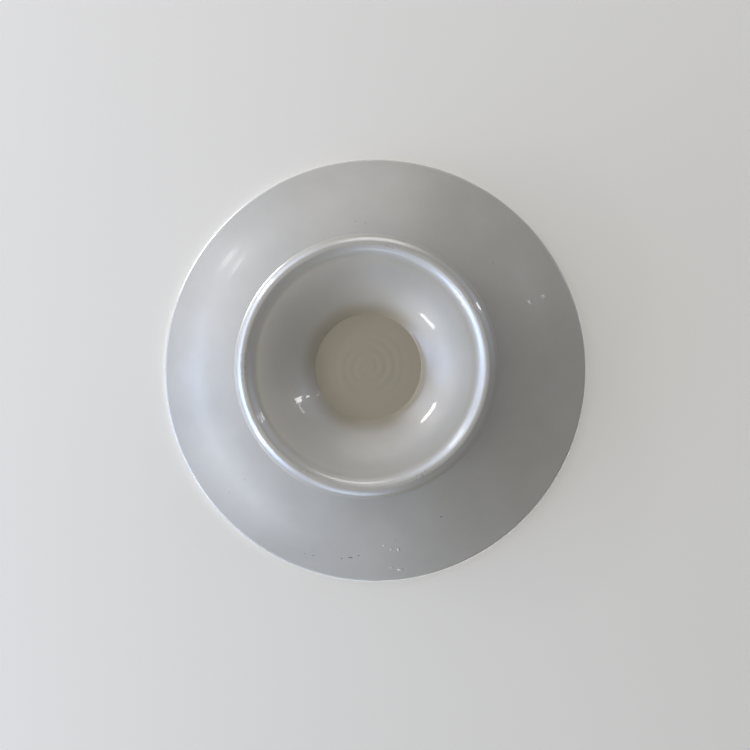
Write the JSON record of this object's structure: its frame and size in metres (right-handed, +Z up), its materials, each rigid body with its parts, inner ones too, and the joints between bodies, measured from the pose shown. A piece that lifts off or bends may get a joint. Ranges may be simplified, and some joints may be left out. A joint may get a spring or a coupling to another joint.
{
  "type": "footed plate",
  "caption": "Low round serving plate of white glazed ceramic: a shallow coupe dish on a hollow flared foot with a rounded bead.",
  "frame": {"origin": "centre of the circle that the foot stands on, in the plane of the surface under it", "axes": "+Z up, along the axis that every piece is turned about, out of the serving side; X and Y lie level in any direction"},
  "size_m": [0.3, 0.3, 0.056],
  "materials": {
    "white_glaze": "clear gloss glaze over a white body",
    "glazed_slip": "gloss glaze over the slip of the joint, a little warmer"
  },
  "bodies": {
    "root": {"dish": "white_glaze", "foot": "white_glaze", "luting_ring": "glazed_slip"}
  },
  "joints": []
}
